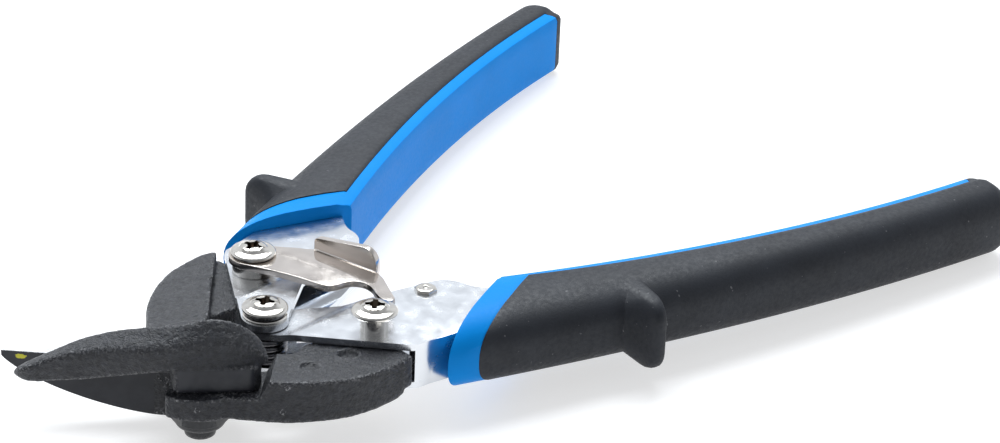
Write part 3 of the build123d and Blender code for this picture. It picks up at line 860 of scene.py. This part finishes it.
def make_channel(side, name, joggle_y, eye_shift):
    """Pressed channel: two plates and a web, with rounded folds and a soft joggle at the eyes."""
    on_web = lambda e: all(v.co.x > 37.0 and abs(abs(v.co.y) - web_line(v.co.x)[1]) < 0.9 for v in e.verts)
    level_edge = lambda e: abs(e.verts[0].co.z - e.verts[1].co.z) < 0.1 and on_web(e)
    body = prism(channel_outline(side), -channel_half, channel_half)
    body = bevel(body, 1.5, 5, 60.0, level_edge)
    inside = channel_half - sheet
    hollow = prism(channel_hollow(side), -inside, inside)
    body = cut(body, hollow, cylinder(pivots[side], shoulder_radius + 0.02, -9, 9),
               cylinder((centre_x, 0), shoulder_radius + (open_pivot_gap if side == RIGHT else 0.02), -9, 9))
    for step in spread(-1.5, 1.5, 9):
        slice_at(body, (0, side * (joggle_y + step), 0), (0, 1, 0))
    for vertex in body.verts:
        height = vertex.co.z - shear_z
        share = smoothstep((joggle_y + 1.5 - side * vertex.co.y) / 3.0)
        vertex.co.z += (1 if height > 0 else -1) * eye_shift * share
    body = bevel(body, 0.22, 2, 50.0)
    piece(f"{name}_channel_plate", body, f"{name}_handle", [nickel_plate],
          [f"{name}_channel"], sharp=30.0)


left_eye_top = box_mm("left_channel")[1].z - shear_z
make_channel(LEFT, "left", 11.0, left_eye_top - channel_half)
make_channel(RIGHT, "right", 7.4, -0.4)


def make_stop_rivet():
    """Hexagonal rivet head with a centre mark, set in a pressed ring."""
    low, high = box_mm("stop_rivet")
    base, top = channel_half, high.z - shear_z
    head = prism(hexagon(stop, 4.5, 0.0), base - 0.1, top)
    cone = lathe([(0, top + 0.01), (1.9, top + 0.01), (2.7, top - 0.5), (2.7, base - 0.2),
                  (0, base - 0.2)], stop)
    head = combine(head, cone, "INTERSECT")
    shank = lathe([(0, base), (1.6, base), (1.6, base - sheet), (2.2, base - sheet - 0.2),
                   (2.0, low.z - shear_z), (0, low.z - shear_z)], stop, 48)
    body = combine(head, shank, "UNION")
    mark = lathe([(0, top + 0.5), (0.75, top + 0.5), (0.45, top - 0.35), (0, top - 0.45)], stop, 32)
    piece("stop_rivet_head", bevel(cut(body, mark), 0.1, 2, 30.0), "right_handle",
          [nickel_screw], ["stop_rivet"])


make_stop_rivet()


# ---- grips --------------------------------------------------------------------------------
def grip_stations():
    """Inner and outer plan points of the grip's sections, slanted at the collar and square at the end."""
    stations = []
    for x in [grip_start, 69.1, 70.0, 72.0, *spread(74.5, 184.4, 44)]:
        u = clamp((x - grip_start) / 119.5)
        skew = blend(9.0, 2.6, u) + 20.3 * (1 - clamp(u / 0.30)) ** 2
        stations.append((inner_line(x), outer_line(x - skew)))
    return stations


def grip_section(inner, outer, half, thin=1.0):
    """Ring of points of one grip section: a flat inner face and a full, rounded outer side."""
    width = hypot(outer[0] - inner[0], outer[1] - inner[1])
    flat = core_half - 0.1
    start = 0.42 * width
    top = [(0.0, 0.0), (0.0, 0.5 * flat), (0.0, flat - 1.3), (0.38, flat - 0.38), (1.3, flat),
           (2.2, flat + 0.12), (band + 0.6, blend(flat, half, 0.75)), (blend(band, start, 0.6), half)]
    for i in range(13):
        a = pi / 2 * i / 12
        top.append((start + (width - start) * sin(a) ** 0.86, half * cos(a) ** 0.80))
    ring = top + [(w, -z) for w, z in reversed(top[1:-1])]
    points = []
    for w, z in ring:
        share = blend(0.5, w / width, thin)
        points.append((blend(inner[0], outer[0], share), blend(inner[1], outer[1], share), z * thin))
    return points


def grip_body(side, half):
    """The whole outer form of a grip, with a domed end."""
    stations = grip_stations()
    rings = [grip_section(inner, outer, half) for inner, outer in stations]
    inner, outer = stations[-1]
    ahead = Vector((0.982, 0.19))
    for out in (1.1, 2.2, 3.2, 4.0, 4.6, 4.9):
        thin = (1 - (out / 5.3) ** 2.6) ** 0.45
        moved = [(p[0] + ahead.x * out, p[1] + ahead.y * out) for p in (inner, outer)]
        rings.append(grip_section(*moved, half, thin))
    return loft([[(x, side * y, shear_z + z) for x, y, z in ring] for ring in rings])


def blue_region(side, grow):
    """Tall block over the blue moulding's plan: the collar and the band along the inner side."""
    beyond = 20.0
    edge = [inner_line(x, -6.0) for x in spread(62.0, grip_end, 16)]
    inset = [inner_line(x, band + grow) for x in spread(grip_end - 1.6, 71.4, 24)]
    corner = arc((grip_end, inner_line(grip_end, -6.0)[1]), (grip_end + 0.3, inner_line(grip_end)[1]),
                 (grip_end - 1.6, inner_line(grip_end - 1.6, band + grow)[1]), 8)
    back = [(71.0, 28.6 + grow), (61.0, 32.6 + grow), (51.8, 35.8 + grow), (43.4, 38.4 + grow), (39.0, 42.0)]
    return prism(mirrored(side, [*edge[:-1], *corner, *inset[1:], *back, (28.0, 43.0), (36.0, 32.0),
                                 (60.0, 14.0)]), -beyond, beyond)


def guard(side):
    """Finger guard: a thin rounded rib, with a long hollow flare on the jaw side and a steep back."""
    base = outer_line(guard_x[side])
    normal = Vector((0.94, side * 0.34, 0)).normalized()
    out = Vector((-0.34, side * 0.94, 0)).normalized()
    centre = Vector((base[0], side * base[1], shear_z))
    rim_reach, rim_half, corner, inside = 7.0, grip_half - 0.45, 4.6, -10.5
    rings = []
    for shift, share in ((-8.5, -0.35), (-6.6, -0.08), (-5.2, 0.12), (-4.0, 0.34), (-3.0, 0.60), (-2.3, 0.82),
                         (-1.8, 0.93), (-1.1, 0.99), (-0.3, 1.0), (0.5, 0.985), (1.0, 0.93), (1.35, 0.80),
                         (1.7, 0.52), (2.2, 0.22), (3.0, 0.0), (4.4, -0.35)):
        reach = rim_reach * share
        half = blend(5.0, rim_half, clamp(share) ** 0.6)
        ring = []
        for turn, (u, v) in enumerate(((1, 1), (-1, 1), (-1, -1), (1, -1))):
            for a in spread(turn * pi / 2, (turn + 1) * pi / 2, 7):
                along = (reach - corner if u > 0 else inside + corner) + corner * cos(a)
                ring.append(centre + normal * shift + out * along
                            + Vector((0, 0, v * (half - corner) + corner * sin(a))))
        rings.append(ring)
    return loft(rings)


def tang_room(side):
    """Hollow of the blue moulding that takes the channel's tang."""
    inside = channel_half + 0.02
    outline = mirrored(side, [*[inner_line(x, 3.96) for x in spread(60.0, tang_end + 0.4, 14)],
                              *[web_line(x, -0.04) for x in spread(tang_end + 0.4, 40.0, 18)]])
    return prism(outline, -inside, inside)


def make_grip(side, name):
    """Black cover with its guard, and the blue moulding, which meet along one line and take the tang."""
    whole = grip_body(side, grip_half)
    cover = cut(whole, blue_region(side, 0.0))
    cover = combine(cover, guard(side), "UNION")
    cover = cut(cover, tang_room(side))
    piece(f"{name}_grip_rubber", bevel(cover, 0.25, 2, 48.0), f"{name}_handle", [rubber],
          [f"{name}_grip_cover"], sharp=42.0)
    core = combine(grip_body(side, grip_half - 0.25), blue_region(side, -0.05), "INTERSECT")
    core = cut(core, tang_room(side))
    piece(f"{name}_grip_moulding", bevel(core, 0.7, 4, 48.0), f"{name}_handle", [blue],
          [f"{name}_grip_core"], sharp=42.0)


make_grip(LEFT, "left")
make_grip(RIGHT, "right")


# ---- handle screws, nuts and rings --------------------------------------------------------
def recess(centre, top, turn):
    """Tapered cross for a screwdriver."""
    arms = []
    for quarter in (0, 1):
        a = turn + quarter * pi / 2
        along, across = Vector((cos(a), sin(a))), Vector((-sin(a), cos(a)))
        rings = []
        for rise, length, width in ((0.6, 2.45, 0.66), (-0.9, 1.75, 0.50), (-2.4, 0.7, 0.32)):
            height = top + rise
            corners = ((-1, -1), (1, -1), (1, 1), (-1, 1))
            plan = [Vector((centre[0], centre[1])) + along * length * u + across * width * v
                    for u, v in corners]
            rings.append([(p.x, p.y, shear_z + height) for p in plan])
        arms.append(loft(rings))
    core = lathe([(0, top + 0.6), (1.45, top + 0.6), (1.05, top - 1.0), (0, top - 2.7)], centre, 32)
    return [*arms, core]


def make_screw(node, name, body, nut_node, turn):
    """Shoulder screw with a broad flange, a raised round boss and a cross recess."""
    low, high = box_mm(node)
    centre = (low + high) / 2
    top, foot = high.z - shear_z, low.z - shear_z
    flange = top - 3.0
    thread_top = box_mm(nut_node)[1].z - shear_z
    boss = top - 0.85
    profile = [(0, boss), (1.4, boss - 0.02), (2.2, boss - 0.1), (2.8, boss - 0.36), (3.12, boss - 0.7),
               (3.4, boss - 0.92), (4.35, top - 1.95), (4.8, top - 2.12), (5.0, top - 2.4),
               (4.98, top - 2.75), (4.75, flange), (3.35, flange), (shoulder_radius, flange - 0.25),
               (shoulder_radius, thread_top + 0.2), (shoulder_radius - 0.2, thread_top),
               *threaded(thread_top - 0.2, foot + 0.5, thread_radius, 0.22, 0.7),
               (thread_radius - 0.35, foot), (0, foot)]
    body_mesh = cut(lathe(profile, centre, 72), *recess(centre, boss, radians(turn)))

    # Faces deep inside the cross recess take the second material, the painted shade.
    def paint(face):
        spot = face.calc_center_median()
        inside = hypot(spot.x - centre.x, spot.y - centre.y) < 2.4
        return 1 if inside and top - 3.0 < spot.z - shear_z < boss - 0.15 else 0

    piece(name, body_mesh, body, [nickel_screw, recess_painted_shade], [node], sharp=34.0,
          paint=paint)


def make_nut(node, name, body, turn):
    """Chamfered hexagon nut."""
    low, high = box_mm(node)
    centre = (low + high) / 2
    low_z, high_z = low.z - shear_z, high.z - shear_z
    bevelled = lathe([(0, high_z + 0.01), (3.9, high_z + 0.01), (4.7, high_z - 0.45), (4.7, low_z + 0.45),
                      (3.9, low_z - 0.01), (0, low_z - 0.01)], centre, 64)
    nut = combine(prism(hexagon(centre, 8.0, turn), low_z, high_z), bevelled, "INTERSECT")
    nut = cut(nut, cylinder(centre, thread_radius + 0.03, low_z - 1, high_z + 1))
    piece(name, bevel(nut, 0.1, 2, 30.0), body, [nickel_screw], [node])


for node, turn in (("left", 12.0), ("right", 40.0), ("centre", 28.0)):
    body = "right_handle" if node == "right" else "left_handle"
    make_screw(f"{node}_pivot_screw", f"{node}_shoulder_screw", body, f"{node}_pivot_nut", turn)
    make_nut(f"{node}_pivot_nut", f"{node}_hex_nut", body, turn)

make_ring("centre_plain_washer", "centre_flat_washer", "left_handle", nickel_screw,
          4.8, 3.15)
make_ring("centre_sleeve", "centre_bush", "left_handle", wire_steel,
          spring_radius - wire_radius - open_pivot_gap, 3.12)
make_ring("latch_spacer_ring", "latch_spacer", "left_handle", nickel_screw, 4.6, 3.15)


def make_spring_washer():
    """Split spring washer: a square bar wound once, its ends a little apart."""
    low, high = box_mm("centre_spring_washer")
    centre = (low + high) / 2
    middle = centre.z
    rings = []
    for i in range(61):
        a = radians(8 + 344 * i / 60)
        rise = blend(-0.08, 0.08, i / 60)
        ring = []
        for radius, height in ((3.2, -0.3), (3.3, -0.37), (4.2, -0.37), (4.3, -0.3), (4.3, 0.3), (4.2, 0.37),
                               (3.3, 0.37), (3.2, 0.3)):
            ring.append((centre.x + radius * cos(a), centre.y + radius * sin(a), middle + height + rise))
        rings.append(ring)
    piece("centre_split_washer", loft(rings), "left_handle", [wire_steel],
          ["centre_spring_washer"])


make_spring_washer()


# ---- torsion spring -----------------------------------------------------------------------
def coil_point(turns, height):
    """Point on the coil, its turns counted from the left leg's side."""
    a = pi / 2 + 2 * pi * turns
    return Vector((centre_x + spring_radius * cos(a), spring_radius * sin(a), shear_z + height))


def leg_path(side, height):
    """A leg's straight run from the coil to the bend at its far end."""
    near_x, near_y, far_y, run = 21.5, 4.5, 11.2, 16.5
    plan = [(x, blend(near_y, far_y, (x - near_x) / run)) for x in spread(near_x, 37.6, 8)]
    return [Vector((x, side * y, shear_z + height)) for x, y in [*plan, (39.0, 11.6), (40.4, 12.2)]]


def make_spring():
    """Coil and left leg on the left handle; the last half turn and right leg, lapping it, on the right."""
    half = (spring_turns - 1) * wire_radius
    last = spring_turns - 1.5  # the half turn brings the right leg out on the right handle's side
    pitch_height = lambda turns: half * (1 - 2 * turns / last)
    joint = last - 0.5
    coil = [coil_point(t, pitch_height(t)) for t in spread(0.0, joint, int(40 * joint))]
    piece("torsion_spring_coil", tube([*reversed(leg_path(LEFT, half)), *coil], wire_radius), "left_handle",
          [wire_steel], ["torsion_spring"])
    end = [coil_point(t, pitch_height(t)) for t in spread(joint - 0.3, last, 32)]
    piece("torsion_spring_leg", tube([*end, *leg_path(RIGHT, -half)], wire_radius), "right_handle",
          [wire_steel])


make_spring()


# ---- thumb latch --------------------------------------------------------------------------
bend_start, bend_end = Vector((44.1, 11.2)), Vector((46.3, -5.9))
bend_radius = 0.35
bend_run = (bend_end - bend_start).normalized()
bend_out = Vector((-bend_run.y, bend_run.x))


def flap_point(along, out):
    spot = bend_start + bend_run * along + bend_out * out
    return spot.x, spot.y


def latch_outline():
    """Flat blank of the latch, with the flap that is bent up into the thumb tab."""
    boss = arc((pivot_x + 1.5, pivot_y + 5.1), (pivot_x - 4.6, pivot_y + 2.8),
               (pivot_x - 4.9, pivot_y - 2.2), 18)
    near = spline([boss[-1], (31.0, 9.6), (32.8, 3.6), (33.8, -1.2), (34.6, -3.2), (36.4, -4.2), (38.4, -4.6),
                   (40.2, -5.6), (41.2, -7.6), (41.0, -10.0), (39.6, -13.0), (38.9, -15.4), (39.5, -17.3),
                   (41.0, -17.1)], 5)
    length = (bend_end - bend_start).length
    tab = tab_top - latch_base - sheet - bend_radius + (bend_radius + sheet / 2) * pi / 2
    far_corner = arc(flap_point(length - 0.1, tab - 3.6), flap_point(length - 1.1, tab - 1.05),
                     flap_point(length - 3.6, tab), 8)
    low = tab - 1.9
    near_corner = arc(flap_point(1.2, low), flap_point(0.35, low - 0.35), flap_point(0.0, low - 1.2), 5)
    return [*near[1:], (43.6, -12.6), (45.7, -9.0), flap_point(length, 0.6), *far_corner, *near_corner,
            flap_point(0.0, 0.4), (43.4, 12.2), (42.0, 14.4), *boss[:-1]]


def make_latch():
    body = prism(latch_outline(), latch_base, latch_base + sheet)
    body = cut(body, cylinder(pivots[LEFT], shoulder_radius + 0.05, 5, 12))
    arc_run = (bend_radius + sheet / 2) * pi / 2
    for step in spread(0.0, arc_run, 8):
        spot = bend_start + bend_out * step
        slice_at(body, (spot.x, spot.y, 0), (bend_out.x, bend_out.y, 0))
    body = bevel(body, 0.28, 3, 50.0)
    for vertex in body.verts:
        offset = Vector((vertex.co.x, vertex.co.y)) - bend_start
        out = offset.dot(bend_out)
        if out <= 0 or vertex.co.x < 43.0:
            continue
        deep = bend_radius + latch_base + sheet - (vertex.co.z - shear_z)
        a = min(out / arc_run, 1.0) * pi / 2
        spot = bend_start + bend_run * offset.dot(bend_run) + bend_out * deep * sin(a)
        beyond = max(0.0, out - arc_run)
        height = latch_base + sheet + bend_radius - deep * cos(a) + beyond
        vertex.co = (spot.x, spot.y, shear_z + height)
    piece("thumb_latch", body, "latch", [latch_plate], ["latch"], sharp=30.0)


make_latch()


# ---- stage --------------------------------------------------------------------------------
def make_floor():
    """Pale floor through the two ends that the shear lies on: the bolt's foot and the grips."""
    rest_x = grip_end + 3.0
    slope = (shear_z - grip_half) / rest_x
    size = 1400.0
    corners = [(x * MM, y * MM, (slope * x) * MM) for x, y in ((-size, -size), (size, -size), (size, size),
                                                               (-size, size))]
    mesh = bpy.data.meshes.new("floor")
    mesh.from_pydata(corners, [], [(0, 1, 2, 3)])
    m = Nodes("pale_floor")
    colour = m.ramp(m.noise(60.0, 2.0), (0.3, (0.46, 0.46, 0.46)), (0.7, (0.48, 0.48, 0.48)))
    m.shader.inputs["Emission Color"].default_value = (1, 1, 1, 1)
    m.shader.inputs["Emission Strength"].default_value = 0.62
    mesh.materials.append(m.finish(colour, m.ramp(m.noise(20.0, 2.0), (0.3, 0.60), (0.7, 0.68))))
    floor = bpy.data.objects.new("floor", mesh)
    bpy.context.scene.collection.objects.link(floor)


def make_world():
    """Studio surround in soft bands from the horizon to overhead, darker low down on the camera's side."""
    world = bpy.data.worlds.new("studio")
    bpy.context.scene.world = world
    world.use_nodes = True
    tree = world.node_tree
    background = next(n for n in tree.nodes if n.type == "BACKGROUND")
    place = tree.nodes.new("ShaderNodeTexCoord")
    split = tree.nodes.new("ShaderNodeSeparateXYZ")
    ramp = tree.nodes.new("ShaderNodeValToRGB")
    stops = ((0.0, 0.74), (0.22, 0.92), (0.36, 0.84), (0.48, 0.94), (0.60, 0.60), (0.74, 0.34), (0.88, 0.55),
             (1.0, 0.45))
    while len(ramp.color_ramp.elements) < len(stops):
        ramp.color_ramp.elements.new(0.5)
    for element, (position, value) in zip(ramp.color_ramp.elements, stops):
        element.position = position
        element.color = (value * 0.96, value, value * 1.06, 1)
    near = tree.nodes.new("ShaderNodeVectorMath")
    near.operation = "DOT_PRODUCT"
    near.inputs[1].default_value = (-0.68, -0.73, 0.0)
    shade = tree.nodes.new("ShaderNodeMapRange")
    for name, value in (("From Min", 0.0), ("From Max", 0.7), ("To Min", 1.0), ("To Max", 0.33)):
        shade.inputs[name].default_value = value
    tree.links.new(place.outputs["Generated"], split.inputs["Vector"])
    tree.links.new(split.outputs["Z"], ramp.inputs["Fac"])
    tree.links.new(ramp.outputs["Color"], background.inputs["Color"])
    tree.links.new(place.outputs["Generated"], near.inputs[0])
    tree.links.new(near.outputs["Value"], shade.inputs["Value"])
    tree.links.new(shade.outputs["Result"], background.inputs["Strength"])


def make_light(name, place, target, size, power):
    data = bpy.data.lights.new(name, "AREA")
    data.shape = "RECTANGLE"
    data.size, data.size_y = size
    data.energy = power
    data.color = (0.93, 0.97, 1.0)
    light = bpy.data.objects.new(name, data)
    light.location = place
    light.rotation_mode = "QUATERNION"
    light.rotation_quaternion = (Vector(target) - Vector(place)).to_track_quat("-Z", "Y")
    bpy.context.scene.collection.objects.link(light)


def make_camera():
    """Long lens from the jaws' side, about 27 degrees up, with the tool's slight lean."""
    right = Vector((0.67829, -0.73382, 0.03800))
    up = Vector((0.30644, 0.32950, 0.89305))
    forward = up.cross(right)
    data = bpy.data.cameras.new("camera")
    data.sensor_width = 36.0
    data.lens = 120.79
    data.clip_start, data.clip_end = 0.05, 10.0
    data.dof.use_dof = False
    camera = bpy.data.objects.new("camera", data)
    turn = Matrix((right, up, -forward)).transposed().to_4x4()
    camera.matrix_world = Matrix.Translation((-0.4200, -0.4564, 0.3629)) @ turn
    bpy.context.scene.collection.objects.link(camera)
    bpy.context.scene.camera = camera


make_floor()
make_world()
middle = (0.07, 0.0, 0.01)
make_light("overhead_softbox", (0.34, 0.40, 0.92), middle, (0.9, 0.6), 16.0)
make_camera()
bpy.context.scene.view_settings.view_transform = "Standard"
